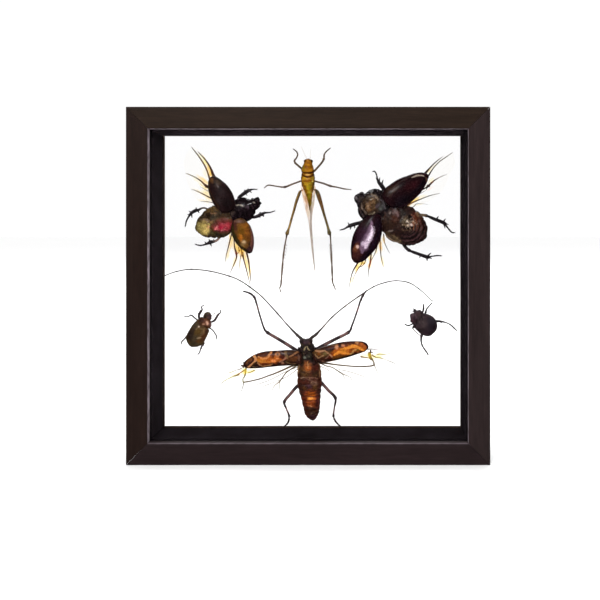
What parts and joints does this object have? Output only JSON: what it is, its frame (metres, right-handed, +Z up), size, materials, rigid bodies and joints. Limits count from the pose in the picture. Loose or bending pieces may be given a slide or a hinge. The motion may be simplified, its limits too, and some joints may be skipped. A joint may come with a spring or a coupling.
{
  "type": "framed insect display",
  "caption": "Deep dark wooden box frame, glazed front and back, with dried beetles and a katydid spread between the panes.",
  "frame": {"origin": "middle of the base, where the bottom rail rests", "axes": "+X to the right along the bottom rail, +Z up, front pane facing -Y"},
  "size_m": [0.3, 0.046, 0.295],
  "materials": {
    "frame_wood": "dark stained wood, satin, fine grain",
    "pane_glass": "clear float glass",
    "liner_black": "black painted strip, low sheen",
    "batten_wood": "dark stained wood, matte",
    "harlequin_shell": "dark brown chitin with orange and black streaks, satin",
    "brown_shell": "very dark maroon brown chitin, glossy",
    "horned_shell": "black and olive brown chitin, glossy",
    "katydid_skin": "ochre and olive dried skin, satin",
    "olive_shell": "olive brown chitin, satin",
    "dung_shell": "black chitin, satin, finely pitted",
    "clear_glue": "clear glue"
  },
  "bodies": {
    "root": {"frame_rail_bottom": "frame_wood", "frame_rail_right": "frame_wood", "frame_rail_top": "frame_wood", "frame_rail_left": "frame_wood", "glass_front": "pane_glass", "glass_rear": "pane_glass", "liner_bottom": "liner_black", "liner_top": "liner_black", "liner_left": "liner_black", "liner_right": "liner_black", "back_batten_bottom": "batten_wood", "back_batten_top": "batten_wood", "back_batten_left": "batten_wood", "back_batten_right": "batten_wood", "harlequin_beetle": "harlequin_shell", "brown_scarab_beetle": "brown_shell", "horned_beetle": "horned_shell", "katydid": "katydid_skin", "olive_scarab_beetle": "olive_shell", "dung_beetle": "dung_shell", "glue_pad_harlequin_beetle": "clear_glue", "glue_pad_brown_scarab_beetle": "clear_glue", "glue_pad_horned_beetle": "clear_glue", "glue_pad_katydid": "clear_glue", "glue_pad_olive_scarab_beetle": "clear_glue", "glue_pad_dung_beetle": "clear_glue"}
  },
  "joints": []
}
